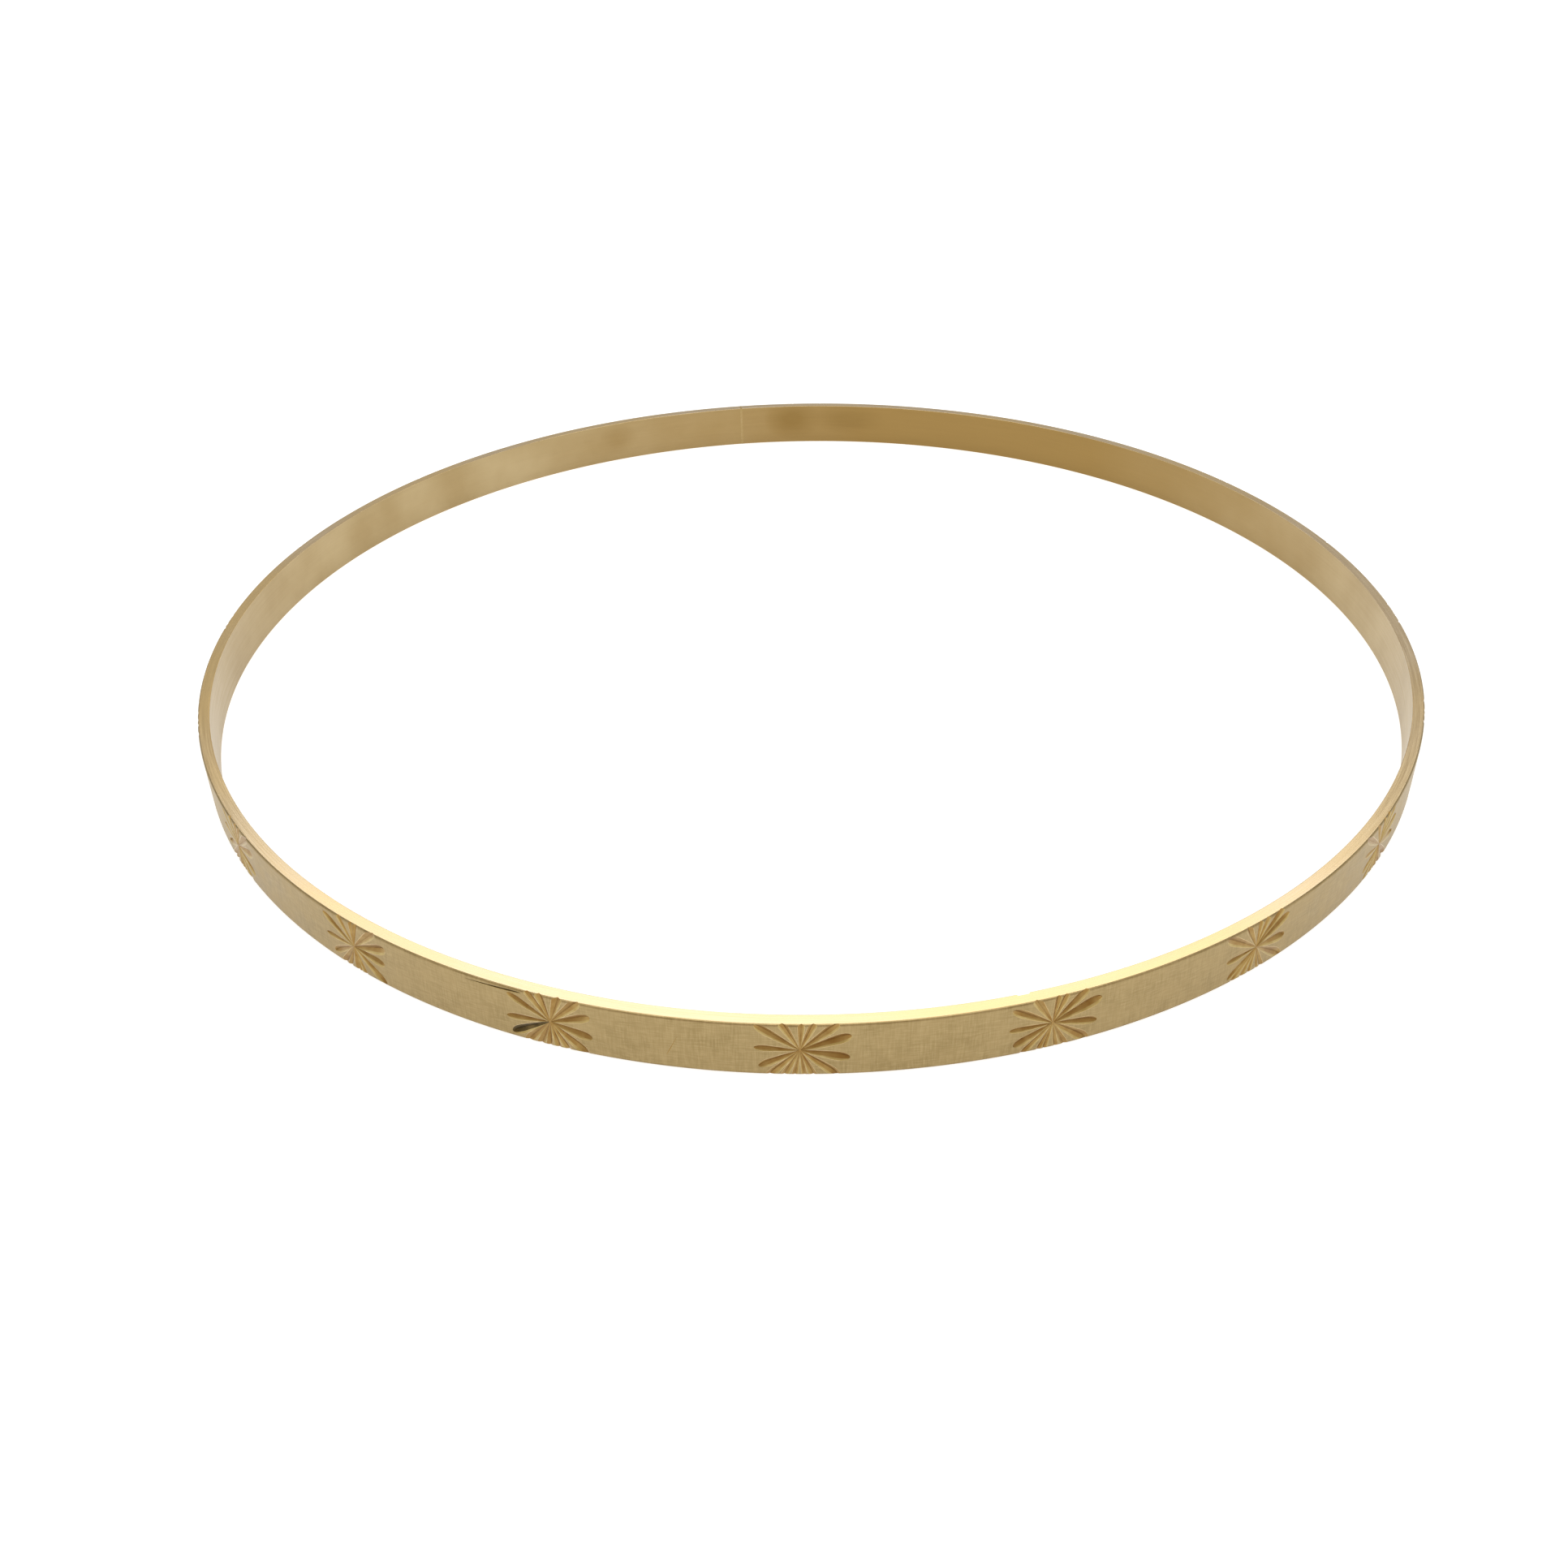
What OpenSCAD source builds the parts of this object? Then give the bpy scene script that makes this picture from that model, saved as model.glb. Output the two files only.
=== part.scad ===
// Slip-on bangle: a flat gold strip bent into a hoop, closed with gold solder,
// chamfered on its outer edges and decorated with a row of diamond-cut stars.
// Millimetres. The origin is the middle of the hoop on the plane it rests on,
// and +Z is the axis of the hoop.

/* [Hoop] */
// Inside diameter, the standard bangle size two and ten sixteenths inches
inner_d = 66.7; // [54:0.1:80]
// Height of the band along the axis
band_h = 2.8; // [2.4:0.1:6]
// Thickness of the strip
band_t = 0.62; // [0.45:0.01:1.2]

/* [Edges] */
// Width of the narrow facet next to each flat edge, along the radius
facet_w = 0.05; // [0.03:0.01:0.16]
// Height of the narrow facet
facet_h = 0.03; // [0.02:0.01:0.12]
// Width of the soft slope between the facet and the outer face
slope_w = 0.025; // [0.01:0.005:0.08]
// Height of the soft slope
slope_h = 0.045; // [0.03:0.005:0.2]

/* [Diamond-cut stars] */
// Number of stars around the hoop
star_count = 20; // [8:1:24]
// Number of rays in each star
ray_count = 15; // [8:1:20]
// Length of a ray from the middle of its star
ray_len = 2.1; // [1.2:0.1:2.4]
// Deepest point of a ray, below the outer face
ray_depth = 0.1; // [0.05:0.01:0.16]
// Angle between the two flanks of a ray
ray_angle = 118; // [90:1:130]

/* [Solder seam] */
// Width of the solder between the two ends of the strip
seam_w = 0.15; // [0.1:0.05:0.4]

/* [Hidden] */
$fn = 180;
inner_r = inner_d / 2;
outer_r = inner_r + band_t;
star_step = 360 / star_count;
first_star = -90;
// The seam lies at the back, half-way between two stars.
seam_at = 90 + star_step / 2;
seam_angle = seam_w / outer_r * 180 / PI;
// A ray is deepest at this part of its length.
belly = 0.66;
// The cutter of a ray stands this far above the face, to clear its curve.
clear = 0.02;
// The rays start this far from the middle of their star.
hub_r = 0.4;
band_color = "#b89a5c";
seam_color = "#cdb885";

// Cross-section of the strip: a smooth inner face and a chamfered outer one.
module strip_section() {
    chamfer_w = facet_w + slope_w;
    chamfer_h = facet_h + slope_h;
    polygon([
        [inner_r, 0],
        [outer_r - chamfer_w, 0],
        [outer_r - slope_w, facet_h],
        [outer_r, chamfer_h],
        [outer_r, band_h - chamfer_h],
        [outer_r - slope_w, band_h - facet_h],
        [outer_r - chamfer_w, band_h],
        [inner_r, band_h]
    ]);
}

// A stretch of the hoop that starts at one angle and covers another.
module arc(start, sweep) {
    rotate([0, 0, start])
        rotate_extrude(angle = sweep)
            strip_section();
}

// A point on a ray that runs at an angle to the plane of the hoop: along the
// ray, across it, and above the curved outer face.
function on_ray(turn, along, across, above) =
    let (round = along * cos(turn) - across * sin(turn),
         up = along * sin(turn) + across * cos(turn))
    [sqrt(outer_r * outer_r - round * round) + above, round, up];

// One ray: the V cut of a diamond tool that sinks in from the middle of the
// star, reaches its full depth and runs out at the tip.
module ray_cutter(turn) {
    half_w = (ray_depth + clear) * tan(ray_angle / 2);
    rise = 1 + clear / ray_depth;
    tip_in = hub_r + (ray_len * belly - hub_r) * (1 - rise);
    tip_out = ray_len * belly + ray_len * (1 - belly) * rise;
    polyhedron(
        points = [
            on_ray(turn, tip_in, 0, clear),
            on_ray(turn, ray_len * belly, -half_w, clear),
            on_ray(turn, tip_out, 0, clear),
            on_ray(turn, ray_len * belly, half_w, clear),
            on_ray(turn, ray_len * belly, 0, -ray_depth)
        ],
        faces = [[0, 3, 1], [1, 3, 2], [0, 1, 4], [1, 2, 4], [2, 3, 4], [3, 0, 4]]
    );
}

module star_cutter() {
    for (i = [0 : ray_count - 1])
        ray_cutter((i + 0.5) * 360 / ray_count);
}

module band() {
    color(band_color)
        difference() {
            arc(seam_at + seam_angle / 2, 360 - seam_angle);
            for (i = [0 : star_count - 1])
                rotate([0, 0, first_star + i * star_step])
                    translate([0, 0, band_h / 2])
                        star_cutter();
        }
}

// The thin wafer of gold solder that closes the hoop, filed flush.
module solder_seam() {
    color(seam_color)
        arc(seam_at - seam_angle / 2, seam_angle);
}

band();
solder_seam();
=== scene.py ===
"""A rigid slip-on bangle in yellow gold, laid flat on a pale floor."""
import math
import random

import bmesh
import bpy
from mathutils import Matrix, Vector


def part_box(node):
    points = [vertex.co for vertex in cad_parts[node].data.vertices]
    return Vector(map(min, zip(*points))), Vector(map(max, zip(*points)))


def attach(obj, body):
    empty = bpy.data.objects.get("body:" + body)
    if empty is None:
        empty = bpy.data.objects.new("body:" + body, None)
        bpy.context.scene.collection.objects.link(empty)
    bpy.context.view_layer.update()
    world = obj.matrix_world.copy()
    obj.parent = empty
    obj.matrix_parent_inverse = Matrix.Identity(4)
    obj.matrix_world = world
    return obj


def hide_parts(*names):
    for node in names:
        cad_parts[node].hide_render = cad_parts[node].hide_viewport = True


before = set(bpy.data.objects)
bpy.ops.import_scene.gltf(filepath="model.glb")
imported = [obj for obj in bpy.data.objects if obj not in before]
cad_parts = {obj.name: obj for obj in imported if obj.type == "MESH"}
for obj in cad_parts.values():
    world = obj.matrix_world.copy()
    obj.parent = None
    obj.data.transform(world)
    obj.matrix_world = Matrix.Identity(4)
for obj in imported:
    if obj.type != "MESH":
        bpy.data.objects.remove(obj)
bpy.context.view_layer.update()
MM = 0.001

# ---------------------------------------------------------------- the band
# One flat strip of yellow gold alloy, rolled, bent round a mandrel and turned
# true. Its flat ends are polished, its edges are broken by a narrow chamfer and
# a fine turned line, and its outer face is brushed.

low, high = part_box("band")
OUTER = high.x
HEIGHT = high.z - low.z
THICK = 0.62 * MM
INNER = OUTER - THICK
# The chamfer's two parts, as (along the radius, up), and the turned line's width and depth.
FACET = (0.05 * MM, 0.03 * MM)
SLOPE = (0.025 * MM, 0.045 * MM)
TURNED_LINE = (0.035 * MM, 0.008 * MM)
INNER_CORNER = 0.012 * MM
CHAMFER_CORNER = 0.01 * MM
LINE_CORNER = 0.006 * MM
LINE_FLOOR = 0.004 * MM
CORNER_HOLD = 0.01 * MM
ROW_SPACING = 0.2 * MM
SEGMENTS = 1080
SHARP_DEGREES = 12

# Worn, blank marks inside, in millimetres: the middle (round from the seam, up)
# and the half size of each, with how far the gold round it is darkened.
MARKS = [
    ((102.8, 1.8), (1.5, 1.1), 1.0),
    ((98.5, 1.8), (2.05, 0.8), 0.8),
    ((-97.0, 1.6), (1.1, 0.8), 0.35),
]
# Where the back is darker, seen along the axis.
DARK_PATCH_MIDDLE = (12.7 * MM, 31.5 * MM)
DARK_PATCH_SIZE = (23 * MM, 23 * MM)

# The stars set where the seam is: half-way between the two nearest the back.
STAR_COUNT = 20
STAR_STEP = math.tau / STAR_COUNT
FRONT = -math.pi / 2
SEAM_AT = math.pi / 2 + STAR_STEP / 2
SEAM_WIDTH = 0.15 * MM
SEAM_ANGLE = SEAM_WIDTH / OUTER

# A face's finish is its material's place in METALS.
# The cut and the flank that faces up are the same gold painted darker and paler: painted shade and painted
# highlight.
OUTSIDE, EDGE, INSIDE, CUT, LIT_FLANK, DARK_MARK_AND_SHADE = range(6)


def rounded(corner, before, after, radius, steps):
    """The points of a small arc that takes the place of one corner."""
    corner, before, after = Vector(corner), Vector(before), Vector(after)
    start = corner + (before - corner).normalized() * radius
    end = corner + (after - corner).normalized() * radius
    points = []
    for i in range(steps + 1):
        t = i / steps
        points.append(start * (1 - t) ** 2 + corner * 2 * t * (1 - t) + end * t * t)
    return points


def strip_section():
    """The strip's outline: (radius, height) points, with the finish of the face after each."""
    shoulder = OUTER - SLOPE[0]
    flat_end = shoulder - FACET[0]
    low_face = FACET[1] + SLOPE[1]
    line_width, line_depth = TURNED_LINE
    floor_of_line = OUTER - line_depth
    corners = [
        ((INNER, 0), INNER_CORNER, EDGE),
        ((flat_end, 0), CHAMFER_CORNER, OUTSIDE),
        ((shoulder, FACET[1]), CHAMFER_CORNER, OUTSIDE),
        ((OUTER, low_face), LINE_CORNER, OUTSIDE),
        ((floor_of_line, low_face + line_width / 2), LINE_FLOOR, OUTSIDE),
        ((OUTER, low_face + line_width), LINE_CORNER, OUTSIDE),
        ((OUTER, HEIGHT - low_face - line_width), LINE_CORNER, OUTSIDE),
        ((floor_of_line, HEIGHT - low_face - line_width / 2), LINE_FLOOR, OUTSIDE),
        ((OUTER, HEIGHT - low_face), LINE_CORNER, OUTSIDE),
        ((shoulder, HEIGHT - FACET[1]), CHAMFER_CORNER, OUTSIDE),
        ((flat_end, HEIGHT), CHAMFER_CORNER, EDGE),
        ((INNER, HEIGHT), INNER_CORNER, INSIDE),
    ]
    outline = []
    for i, (corner, radius, finish) in enumerate(corners):
        before = corners[i - 1][0]
        after, after_radius, _ = corners[(i + 1) % len(corners)]
        arc = rounded(corner, before, after, radius, 3)
        rounding = EDGE if finish == INSIDE else finish
        for point in arc[:-1]:
            outline.append((point, rounding))
        outline.append((arc[-1], finish))
        # A row close to each corner keeps the flat between them flat to the eye.
        run = Vector(after) - arc[-1]
        length = run.length - after_radius
        hold = min(CORNER_HOLD, length / 4)
        rows = max(1, int(length / ROW_SPACING))
        for distance in [hold] + [length * row / rows for row in range(1, rows)] + [length - hold]:
            outline.append((arc[-1] + run.normalized() * distance, finish))
    return outline


def mesh_object(name, points, faces, materials, finishes=None):
    """A mesh object; finishes gives each face's place in the list of materials."""
    mesh = bpy.data.meshes.new(name)
    mesh.from_pydata(points, [], faces)
    for material in materials:
        mesh.materials.append(material)
    if finishes:
        mesh.polygons.foreach_set("material_index", finishes)
    mesh.update()
    made = bpy.data.objects.new(name, mesh)
    bpy.context.scene.collection.objects.link(made)
    return made


def bend_strip(name, start, sweep, segments, materials):
    """A stretch of the strip bent round the axis, closed at both ends."""
    outline = strip_section()
    size = len(outline)
    points, faces, finishes = [], [], []
    for i in range(segments + 1):
        angle = start + sweep * i / segments
        for (radius, height), _ in outline:
            points.append((radius * math.cos(angle), radius * math.sin(angle), height))
    for i in range(segments):
        for k in range(size):
            a, b = i * size + k, i * size + (k + 1) % size
            faces.append((a, a + size, b + size, b))
            finishes.append(outline[k][1])
    faces.append(tuple(range(size)))
    faces.append(tuple(segments * size + k for k in reversed(range(size))))
    finishes += [EDGE, EDGE]
    return mesh_object(name, points, faces, materials, finishes)


def linear(hex_color):
    """A surface colour from its sRGB hex value."""
    values = [int(hex_color[i:i + 2], 16) / 255 for i in (1, 3, 5)]
    return [v / 12.92 if v <= 0.04045 else ((v + 0.055) / 1.055) ** 2.4 for v in values] + [1.0]


def node(tree, kind, sockets, **settings):
    """Adds a node. Its sockets take values, or other nodes' outputs as links."""
    made = tree.nodes.new(kind)
    for name, value in settings.items():
        setattr(made, name, value)
    for name, value in sockets.items():
        if isinstance(value, bpy.types.NodeSocket):
            tree.links.new(value, made.inputs[name])
        else:
            made.inputs[name].default_value = value
    return made


def new_material(name):
    material = bpy.data.materials.new(name)
    material.use_nodes = True
    material.node_tree.nodes.clear()
    return material, material.node_tree


def metal(tree, color, roughness, normal=None):
    sockets = {"Base Color": color, "Metallic": 1.0, "Roughness": roughness}
    if normal:
        sockets["Normal"] = normal
    surface = node(tree, "ShaderNodeBsdfPrincipled", sockets)
    node(tree, "ShaderNodeOutputMaterial", {"Surface": surface.outputs["BSDF"]})


def unrolled(tree):
    """Coordinates on the unrolled strip in millimetres: round from the seam, up and outwards."""
    place = node(tree, "ShaderNodeTexCoord", {}).outputs["Object"]
    turned = node(tree, "ShaderNodeMapping", {"Vector": place, "Rotation": (0, 0, math.pi - SEAM_AT)})
    split = node(tree, "ShaderNodeSeparateXYZ", {"Vector": turned.outputs[0]})
    x, y, z = split.outputs["X"], split.outputs["Y"], split.outputs["Z"]
    angle = node(tree, "ShaderNodeMath", {0: y, 1: x}, operation="ARCTAN2")
    around = node(tree, "ShaderNodeMath", {0: angle.outputs[0], 1: OUTER / MM}, operation="MULTIPLY")
    up = node(tree, "ShaderNodeMath", {0: z, 1: 1 / MM}, operation="MULTIPLY")
    flat = node(tree, "ShaderNodeCombineXYZ", {"X": x, "Y": y})
    reach = node(tree, "ShaderNodeVectorMath", {0: flat.outputs[0]}, operation="LENGTH")
    out = node(tree, "ShaderNodeMath", {0: reach.outputs["Value"], 1: 1 / MM}, operation="MULTIPLY")
    parts = {"X": around.outputs[0], "Y": up.outputs[0], "Z": out.outputs[0]}
    return node(tree, "ShaderNodeCombineXYZ", parts).outputs["Vector"]


def grain(tree, strip, spacing, detail=2.0):
    """Noise from 0 to 1 on the unrolled strip, with its spacing in millimetres on each axis."""
    scaled = node(tree, "ShaderNodeMapping", {"Vector": strip, "Scale": [1 / size for size in spacing]})
    noise = node(tree, "ShaderNodeTexNoise", {"Vector": scaled.outputs[0], "Scale": 1.0, "Detail": detail})
    return noise.outputs["Fac"]


def clouds(tree, spacing, detail=3.0):
    """Noise from 0 to 1 in patches of a size in millimetres, which run on past the seam."""
    place = node(tree, "ShaderNodeTexCoord", {}).outputs["Object"]
    sockets = {"Vector": place, "Scale": 1 / (spacing * MM), "Detail": detail}
    return node(tree, "ShaderNodeTexNoise", sockets).outputs["Fac"]


def patch(tree, place, middle, size):
    """1 inside an oval in the first two coordinates of a place, fading to 0 round it."""
    scale = (1 / size[0], 1 / size[1], 0)
    shift = (-middle[0] / size[0], -middle[1] / size[1], 0)
    placed = node(tree, "ShaderNodeMapping", {"Vector": place, "Scale": scale, "Location": shift})
    away = node(tree, "ShaderNodeVectorMath", {0: placed.outputs[0]}, operation="LENGTH")
    fade = {"Value": away.outputs["Value"], "From Min": 1.5, "From Max": 0.4}
    return node(tree, "ShaderNodeMapRange", fade).outputs[0]


def blend(tree, factor, first, second, low_end=0.3, high_end=0.7):
    """Two colours or two values, mixed as the factor goes from its low end to its high end."""
    color = not isinstance(first, float)
    spread = node(tree, "ShaderNodeMapRange", {"Value": factor, "From Min": low_end, "From Max": high_end})
    kind, a, b, result = ("RGBA", 6, 7, 2) if color else ("FLOAT", 2, 3, 0)
    mixed = node(tree, "ShaderNodeMix", {0: spread.outputs[0], a: first, b: second}, data_type=kind)
    return mixed.outputs[result]


def brushed_gold():
    """Brushed 14 carat gold: fine upright and level lines that cross like cloth, and clouds."""
    material, tree = new_material("brushed_gold")
    strip = unrolled(tree)
    # The finest real lines, 0.03 mm apart, are drawn 0.07 mm apart so that they show.
    upright = grain(tree, strip, (0.07, 0.8, 9), 3.0)
    level = grain(tree, strip, (0.6, 0.07, 9), 3.0)
    woven = node(tree, "ShaderNodeMath", {0: upright, 1: level}, operation="ADD")
    half = node(tree, "ShaderNodeMath", {0: woven.outputs[0], 1: 0.5}, operation="MULTIPLY")
    cloud = clouds(tree, 1.1, 4.0)
    tone = blend(tree, cloud, linear("#968258"), linear("#a69166"))
    color = blend(tree, half.outputs[0], tone, linear("#b19c71"), 0.42, 0.72)
    relief = {"Strength": 0.8, "Distance": 0.004 * MM, "Height": woven.outputs[0]}
    bump = node(tree, "ShaderNodeBump", relief)
    metal(tree, color, blend(tree, cloud, 0.38, 0.46), bump.outputs["Normal"])
    return material


def polished_gold():
    """Gold turned and buffed on a wheel: bright, with long faint streaks that follow the hoop."""
    material, tree = new_material("polished_gold")
    strip = unrolled(tree)
    streaks = grain(tree, strip, (3.0, 0.06, 0.05), 3.0)
    color = blend(tree, streaks, linear("#cab28a"), linear("#d5c19e"))
    color = blend(tree, clouds(tree, 14.0, 1.0), color, linear("#d3b67e"), 0.45, 0.65)
    bump = node(tree, "ShaderNodeBump", {"Strength": 0.5, "Distance": 0.002 * MM, "Height": streaks})
    metal(tree, color, blend(tree, streaks, 0.14, 0.24), bump.outputs["Normal"])
    return material


def drawn_gold():
    """Gold as the rollers leave it: soft, level lines and warm clouds, darker in a broad patch at the back
    and round the marks.
    """
    material, tree = new_material("drawn_gold")
    strip = unrolled(tree)
    lines = grain(tree, strip, (4.0, 0.1, 9), 3.0)
    color = blend(tree, clouds(tree, 4.0), linear("#a58f66"), linear("#b39f78"))
    place = node(tree, "ShaderNodeTexCoord", {}).outputs["Object"]
    dark_patch = patch(tree, place, DARK_PATCH_MIDDLE, DARK_PATCH_SIZE)
    color = blend(tree, dark_patch, color, linear("#987c4a"), 0.0, 1.0)
    for middle, size, darkening in MARKS:
        mark = patch(tree, strip, middle, size)
        darkened = node(tree, "ShaderNodeMath", {0: mark, 1: darkening}, operation="MULTIPLY").outputs[0]
        color = blend(tree, darkened, color, linear("#8d7242"), 0.0, 1.0)
    bump = node(tree, "ShaderNodeBump", {"Strength": 0.5, "Distance": 0.003 * MM, "Height": lines})
    metal(tree, color, blend(tree, lines, 0.3, 0.4), bump.outputs["Normal"])
    return material


def bright_cut_shaded_gold():
    """Gold cut by a diamond, its colour darkened to amber: painted shade for the light that bounces twice
    in a groove.
    """
    material, tree = new_material("bright_cut_shaded_gold")
    color = blend(tree, clouds(tree, 0.5, 2.0), linear("#93713d"), linear("#a78b56"))
    metal(tree, color, 0.34)
    return material


def lit_flank_gold():
    """The lower flank of a groove, which faces up: the same gold painted paler than the amber cut, a
    painted highlight for the light it catches.
    """
    material, tree = new_material("lit_flank_gold")
    color = blend(tree, clouds(tree, 0.4, 3.0), linear("#a28b54"), linear("#b6a26e"))
    metal(tree, color, 0.34)
    return material


def dark_mark_and_shade_gold():
    """Dark gold for the nick and the gouge, and painted shade on the keel and one flank of a ray of the
    star on the left.
    """
    material, tree = new_material("dark_mark_and_shade_gold")
    metal(tree, blend(tree, clouds(tree, 0.4, 2.0), linear("#443820"), linear("#6e5c38")), 0.4)
    return material


METALS = [
    brushed_gold(), polished_gold(), drawn_gold(), bright_cut_shaded_gold(), lit_flank_gold(), dark_mark_and_shade_gold(),
]
band = bend_strip("band_hoop", SEAM_AT + SEAM_ANGLE / 2, math.tau - SEAM_ANGLE, SEGMENTS, METALS)

# ---------------------------------------------------------------- the stars
# Each star is a burst of V grooves. A diamond tool sinks in beside the middle,
# widens to a blunt tip and burnishes a thin bright rim on the rising side. The
# rays are set by eye, so they wander, and the long ones notch the edges.

# Each ray's direction in degrees, its length and half its width in millimetres:
# of the front star, which most others follow, and of the one on its left.
RAYS = [
    (176.5, 1.9, 0.17), (144, 2.3, 0.21), (117, 2.1, 0.2), (87, 2.1, 0.17), (68, 2.1, 0.18),
    (42, 2.2, 0.22), (20, 2.25, 0.27), (-12.5, 2.1, 0.25), (-42, 2.2, 0.22), (-69, 2.1, 0.18),
    (-83, 2.1, 0.13), (-99, 2.1, 0.15), (-115, 2.1, 0.17), (-132, 2.2, 0.19), (-151.5, 1.95, 0.2),
]
LEFT_RAYS = [
    (187, 2.1, 0.18), (151, 2.2, 0.2), (124, 2.1, 0.18), (106, 2.1, 0.22), (72, 2.1, 0.24),
    (46, 2.1, 0.24), (21, 2.0, 0.24), (-14, 1.95, 0.25), (-41, 2.2, 0.25), (-63, 2.1, 0.19),
    (-79, 2.1, 0.18), (-96, 2.0, 0.17), (-112, 2.1, 0.2), (-130, 2.0, 0.22), (-149, 2.2, 0.24),
]
RAY_BELLY = 0.74
RAY_START = 0.02 * MM
STATIONS = 20
# The slope of a flank, as its width over its depth.
FLANK = math.tan(math.radians(62))
# Where a flank turns steeper towards the keel, as parts of its width and depth.
FLANK_BREAK = (0.62, 0.32)
RIM_WIDTH = 0.022 * MM
RIM_SLOPE = 0.3
# How far each cutter stands clear of the face that it cuts.
CLEAR = 0.004 * MM
HUB_RADIUS = 0.08 * MM
HUB_DEPTH = 0.022 * MM
HUB_SIDES = 16
shaky = random.Random(7)


def face_point(spot, along, turn, across, above):
    """A point on the curved outer face, counted from a spot given as (angle, height, tilt)."""
    angle, height, tilt = spot
    turn += tilt
    around = along * math.cos(turn) - across * math.sin(turn)
    up = along * math.sin(turn) + across * math.cos(turn)
    a = angle + around / OUTER
    radius = OUTER + above
    return (radius * math.cos(a), radius * math.sin(a), height + up)


def ray_half_width(s, widest):
    """Half the width of the cut at a part of its length: a straight taper, then a blunt tip."""
    if s < RAY_BELLY:
        return widest * (s / RAY_BELLY) ** 0.65
    t = (s - RAY_BELLY) / (1 - RAY_BELLY)
    return widest * max(0.0, 1 - t ** 2.5) ** 0.5


def add_ray(points, faces, finishes, spot, turn, length, widest, rim=RIM_WIDTH, bright=CUT):
    """One groove's cutter: rims, shoulders, flanks and keel at each station, closed at both ends."""
    first = len(points)
    rising = math.cos(turn + spot[2])
    rims = [rim * (0.4 + 0.6 * max(0.0, side * rising)) for side in (-1, 1)]
    points.append(face_point(spot, RAY_START, turn, 0, CLEAR))
    for i in range(1, STATIONS):
        s = 0.5 - 0.5 * math.cos(math.pi * i / STATIONS)
        along = RAY_START + (length - RAY_START) * s
        half = ray_half_width(s, widest)
        right, left = [4 * s * (1 - s) * width for width in rims]
        spread = CLEAR / RIM_SLOPE
        keel = half / FLANK + RIM_SLOPE * max(right, left)
        row = [
            (-half - right - spread, CLEAR),
            (-half, -RIM_SLOPE * right),
            (-half * FLANK_BREAK[0], -keel * FLANK_BREAK[1]),
            (0, -keel),
            (half * FLANK_BREAK[0], -keel * FLANK_BREAK[1]),
            (half, -RIM_SLOPE * left),
            (half + left + spread, CLEAR),
        ]
        for across, above in row:
            points.append(face_point(spot, along, turn, across, above))
    points.append(face_point(spot, length, turn, 0, CLEAR))
    last = len(points) - 1
    size = len(row)
    # The flank that faces up is painted paler, a painted highlight; the keel and the other flank take the
    # darker cut colour, painted shade.
    right_flank, left_flank = (LIT_FLANK, bright) if rising > 0 else (bright, LIT_FLANK)
    row_finishes = [EDGE, right_flank, bright, bright, left_flank, EDGE, CUT]
    for k in range(size):
        a, b = first + 1 + k, first + 1 + (k + 1) % size
        faces.append((first, b, a))
        finishes.append(row_finishes[k])
        for i in range(STATIONS - 2):
            faces.append((a, b, b + size, a + size))
            finishes.append(row_finishes[k])
            a, b = a + size, b + size
        faces.append((last, a, b))
        finishes.append(row_finishes[k])


def add_hub(points, faces, finishes, spot):
    """The shallow pit where all the grooves of a star meet."""
    first = len(points)
    points.append(face_point(spot, 0, 0, 0, CLEAR))
    points.append(face_point(spot, 0, 0, 0, -HUB_DEPTH))
    for i in range(HUB_SIDES):
        points.append(face_point(spot, HUB_RADIUS, i * math.tau / HUB_SIDES, 0, CLEAR))
    for i in range(HUB_SIDES):
        a, b = first + 2 + i, first + 2 + (i + 1) % HUB_SIDES
        faces += [(first, a, b), (first + 1, b, a)]
        finishes += [CUT, CUT]


def star_rays(pattern, wander):
    """The rays of one star as (turn, length, half width)."""
    rays = []
    for turn, length, width in pattern:
        turn = math.radians(turn + wander * shaky.uniform(-5, 5))
        length = length * MM * (1 + wander * shaky.uniform(-0.08, 0.06))
        rays.append((turn, length, width * MM * (1 + wander * shaky.uniform(-0.15, 0.15))))
    return rays


def volume(mesh):
    """The volume that a closed mesh holds; it is negative when the mesh is inside out."""
    work = bmesh.new()
    work.from_mesh(mesh)
    held = work.calc_volume(signed=True)
    work.free()
    return held


def drop_flakes(mesh):
    """Removes flakes with no thickness: pairs of faces back to back on the same points."""
    work = bmesh.new()
    work.from_mesh(mesh)
    seen = {}
    for face in work.faces:
        seen.setdefault(frozenset(vert.index for vert in face.verts), []).append(face)
    flakes = [face for faces in seen.values() if len(faces) > 1 for face in faces]
    bmesh.ops.delete(work, geom=flakes, context="FACES")
    work.to_mesh(mesh)
    work.free()


def cut(target, points, faces, finishes):
    """Takes closed shapes out of the target; the cut faces keep the finishes of the shapes."""
    cutter = mesh_object("cutter", points, faces, METALS, finishes)
    tool = target.modifiers.new("cut", "BOOLEAN")
    tool.operation = "DIFFERENCE"
    tool.solver = "MANIFOLD"
    tool.object = cutter
    evaluated = target.evaluated_get(bpy.context.evaluated_depsgraph_get())
    cut_mesh = bpy.data.meshes.new_from_object(evaluated)
    target.modifiers.clear()
    if volume(cut_mesh) >= volume(target.data):
        raise RuntimeError("a cut took no metal away")
    drop_flakes(cut_mesh)
    target.data = cut_mesh
    bpy.data.objects.remove(cutter)


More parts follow.
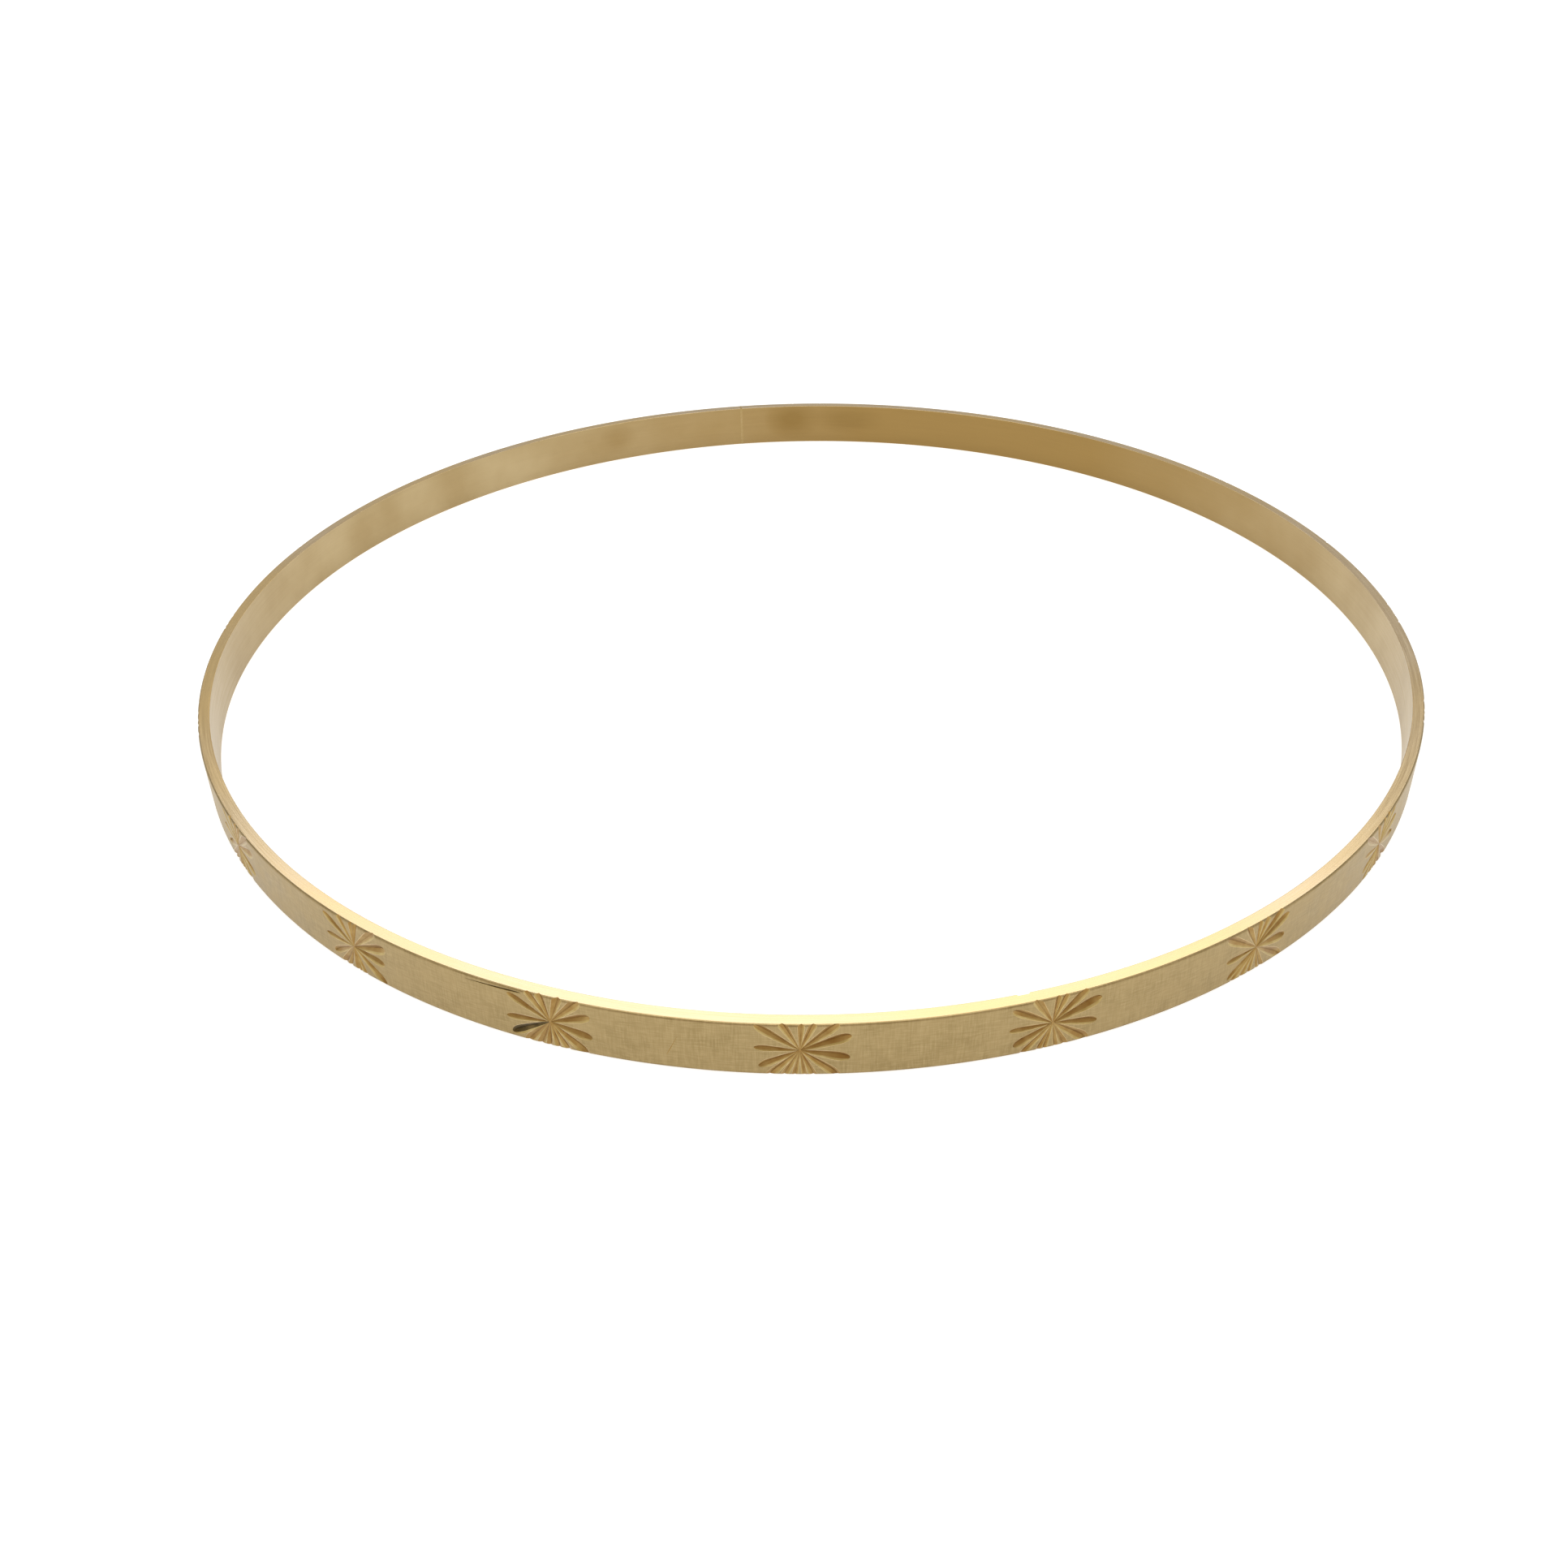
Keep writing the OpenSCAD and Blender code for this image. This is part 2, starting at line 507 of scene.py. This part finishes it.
def cut_stars():
    """Cuts every star: two to their own rays, and the rest to the front one's with a wander."""
    stars = []
    for i in range(STAR_COUNT):
        left = i == STAR_COUNT - 1
        wander = 0 if left or i == 0 else 1
        spot = (FRONT + i * STAR_STEP, HEIGHT / 2, wander * shaky.uniform(-0.1, 0.1))
        stars.append((spot, star_rays(LEFT_RAYS if left else RAYS, wander)))
    # The last ray of the star on the left is painted dark: painted shade on its keel and one flank.
    shaded_ray = stars[-1][1].pop() + (RIM_WIDTH, DARK_MARK_AND_SHADE)
    stars[-1][1].append(shaded_ray)
    # Every other ray is cut at a time, which keeps the shapes of one cut apart.
    for start in range(2):
        shape = ([], [], [])
        for spot, rays in stars:
            for ray in rays[start::2]:
                add_ray(*shape, spot, *ray)
        cut(band, *shape)
    shape = ([], [], [])
    for spot, _ in stars:
        add_hub(*shape, spot)
    cut(band, *shape)


cut_stars()

# ---------------------------------------------------------------- the wear
# Years of use left blank worn punch marks inside the back, a nick on the inner
# top edge, a hairline scratch beside the front star and a dark gouge that
# follows the top edge.

MARK_DEPTH = 0.012 * MM
# A dent is this part of the darkened patch round it.
DENT_PART = 0.85
DENT_SIDES = 20
DENT_SQUARENESS = 0.6
NICK_MIDDLE = (4.15, HEIGHT / MM)
NICK_SIZE = (0.3, 0.12)
NICK_DEPTH = 0.08 * MM
# The start of each line as (angle, height, tilt), then its direction, length and half width.
SCRATCH = (math.radians(-98.45), HEIGHT / 2 + 0.49 * MM, 0), math.radians(-115), 1.3 * MM, 0.02 * MM
GOUGE = (math.radians(-114.8), HEIGHT / 2 + 1.14 * MM, 0), math.radians(2), 2.8 * MM, 0.06 * MM


def add_dent(points, faces, finishes, middle, half_size, depth=MARK_DEPTH, finish=INSIDE):
    """A dent in the inner face: a rounded oblong with a sunken floor."""
    first = len(points)
    angle = SEAM_AT + math.pi + middle[0] * MM / OUTER
    for grow, below in ((1.0, -CLEAR), (0.8, depth)):
        for i in range(DENT_SIDES):
            turn = i * math.tau / DENT_SIDES
            c, s = math.cos(turn), math.sin(turn)
            aside = half_size[0] * grow * math.copysign(abs(c) ** DENT_SQUARENESS, c)
            above = half_size[1] * grow * math.copysign(abs(s) ** DENT_SQUARENESS, s)
            a = angle + aside * MM / INNER
            up = (middle[1] + above) * MM
            points.append(((INNER + below) * math.cos(a), (INNER + below) * math.sin(a), up))
    for below in (-CLEAR, depth):
        radius = INNER + below
        points.append((radius * math.cos(angle), radius * math.sin(angle), middle[1] * MM))
    inside, floor = first + 2 * DENT_SIDES, first + 2 * DENT_SIDES + 1
    for i in range(DENT_SIDES):
        a, b = first + i, first + (i + 1) % DENT_SIDES
        c, d = a + DENT_SIDES, b + DENT_SIDES
        faces += [(inside, b, a), (a, b, d, c), (floor, c, d)]
        finishes += [finish, finish, finish]


def wear():
    """Cuts the dents inside, then the lines outside, which have no burnished rim."""
    shape = ([], [], [])
    for middle, (half_round, half_up), _ in MARKS:
        add_dent(*shape, middle, (half_round * DENT_PART, half_up * DENT_PART))
    add_dent(*shape, NICK_MIDDLE, NICK_SIZE, NICK_DEPTH, DARK_MARK_AND_SHADE)
    cut(band, *shape)
    shape = ([], [], [])
    add_ray(*shape, *SCRATCH, 0)
    add_ray(*shape, *GOUGE, 0, DARK_MARK_AND_SHADE)
    cut(band, *shape)


wear()
band.data.name = "band_hoop"


def shade(piece):
    """Smooth shading that breaks at the crisp edges."""
    piece.data.shade_smooth()
    piece.data.set_sharp_from_angle(angle=math.radians(SHARP_DEGREES))


shade(band)
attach(band, "root")
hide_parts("band")

# ---------------------------------------------------------------- the seam
# A wafer of gold solder closes the hoop at the back. It is filed flush and
# brushed over, and shows only as a hairline a shade paler than the strip.

SEAM_SEGMENTS = 4


def gold_solder():
    """Gold solder: a little more silver than the strip, so a shade paler, and buffed with it."""
    material, tree = new_material("gold_solder")
    lines = grain(tree, unrolled(tree), (0.5, 0.1, 0.1), 2.0)
    color = blend(tree, lines, linear("#a48c5c"), linear("#ad966a"))
    metal(tree, color, blend(tree, lines, 0.34, 0.42))
    return material


solder = [gold_solder()] * len(METALS)
seam = bend_strip("seam_solder", SEAM_AT - SEAM_ANGLE / 2, SEAM_ANGLE, SEAM_SEGMENTS, solder)
shade(seam)
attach(seam, "root")
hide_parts("solder_seam")

# ---------------------------------------------------------------- the floor
# The white acrylic top of a light table, which glows a little from below.

FLOOR_SIZE = 4.0
FLOOR_GLOW = 0.7
FLOOR_GAP = 0.01 * MM


def make_floor():
    half = FLOOR_SIZE / 2
    corners = [(-half, -half, 0), (half, -half, 0), (half, half, 0), (-half, half, 0)]
    material, tree = new_material("white_acrylic")
    acrylic = {
        "Base Color": linear("#bcbcba"),
        "Roughness": 0.8,
        "Emission Color": linear("#ffffff"),
        "Emission Strength": FLOOR_GLOW,
    }
    surface = node(tree, "ShaderNodeBsdfPrincipled", acrylic)
    node(tree, "ShaderNodeOutputMaterial", {"Surface": surface.outputs["BSDF"]})
    floor = mesh_object("floor", corners, [(0, 1, 2, 3)], [material])
    floor.location.z = low.z - FLOOR_GAP


make_floor()

# ---------------------------------------------------------------- the light
# A softbox high behind the bangle makes its front edge flare, a wider one
# overhead in front lights the table, and the room's front wall is warm.

middle = (low + high) / 2


def softbox(name, azimuth, elevation, distance, width, height, radiance):
    lamp = bpy.data.lights.new(name, "AREA")
    lamp.shape = "RECTANGLE"
    lamp.size = width
    lamp.size_y = height
    lamp.energy = radiance * math.pi * width * height
    made = bpy.data.objects.new(name, lamp)
    bpy.context.scene.collection.objects.link(made)
    a, e = math.radians(azimuth), math.radians(elevation)
    away = Vector((math.cos(a) * math.cos(e), math.sin(a) * math.cos(e), math.sin(e)))
    aim = away.to_track_quat("Z", "Y").to_matrix().to_4x4()
    made.matrix_world = Matrix.Translation(middle + away * distance) @ aim


softbox("softbox_back", 90, 58, 0.6, 0.6, 0.42, 1.58)
softbox("softbox_overhead", -90, 68, 0.7, 0.9, 0.5, 1.6)


def make_room():
    """Even walls, with a warmer and darker one low in front of the bangle."""
    world = bpy.data.worlds.new("room")
    bpy.context.scene.world = world
    world.use_nodes = True
    tree = world.node_tree
    tree.nodes.clear()
    direction = node(tree, "ShaderNodeTexCoord", {}).outputs["Generated"]
    split = node(tree, "ShaderNodeSeparateXYZ", {"Vector": direction})
    front = {"Value": split.outputs["Y"], "From Min": -0.2, "From Max": -0.6}
    under = {"Value": split.outputs["Z"], "From Min": 0.8, "From Max": 0.5}
    in_front = node(tree, "ShaderNodeMapRange", front).outputs[0]
    below = node(tree, "ShaderNodeMapRange", under).outputs[0]
    wall = node(tree, "ShaderNodeMath", {0: in_front, 1: below}, operation="MULTIPLY")
    color = blend(tree, wall.outputs[0], linear("#cccac8"), linear("#cebda6"), 0.0, 1.0)
    background = node(tree, "ShaderNodeBackground", {"Color": color, "Strength": 1.0})
    node(tree, "ShaderNodeOutputWorld", {"Surface": background.outputs[0]})


make_room()
bpy.context.scene.view_settings.view_transform = "Standard"

# ---------------------------------------------------------------- the camera
# Close to the hoop, a little to the right of the front star, looking down.

CAMERA_DISTANCE = 2.725 * OUTER
CAMERA_TURN = math.radians(0.75)
CAMERA_ELEVATION = math.radians(29.44)
CAMERA_LENS = 36.09
CAMERA_TILT_DOWN = math.radians(5.23)
CAMERA_PAN = math.radians(0.83)
CAMERA_ROLL = math.radians(-0.63)


def make_camera():
    camera = bpy.data.objects.new("camera", bpy.data.cameras.new("camera"))
    bpy.context.scene.collection.objects.link(camera)
    camera.data.lens = CAMERA_LENS
    camera.data.sensor_width = 36
    camera.data.clip_start = 0.005
    around = FRONT + CAMERA_TURN
    flat = math.cos(CAMERA_ELEVATION)
    away = Vector((math.cos(around) * flat, math.sin(around) * flat, math.sin(CAMERA_ELEVATION)))
    aim = away.to_track_quat("Z", "Y").to_matrix()
    trim = Matrix.Rotation(CAMERA_ROLL, 3, "Z") @ Matrix.Rotation(CAMERA_PAN, 3, "Y")
    trim = trim @ Matrix.Rotation(-CAMERA_TILT_DOWN, 3, "X")
    place = Matrix.Translation(middle + away * CAMERA_DISTANCE)
    camera.matrix_world = place @ (aim @ trim).to_4x4()
    bpy.context.scene.camera = camera


make_camera()
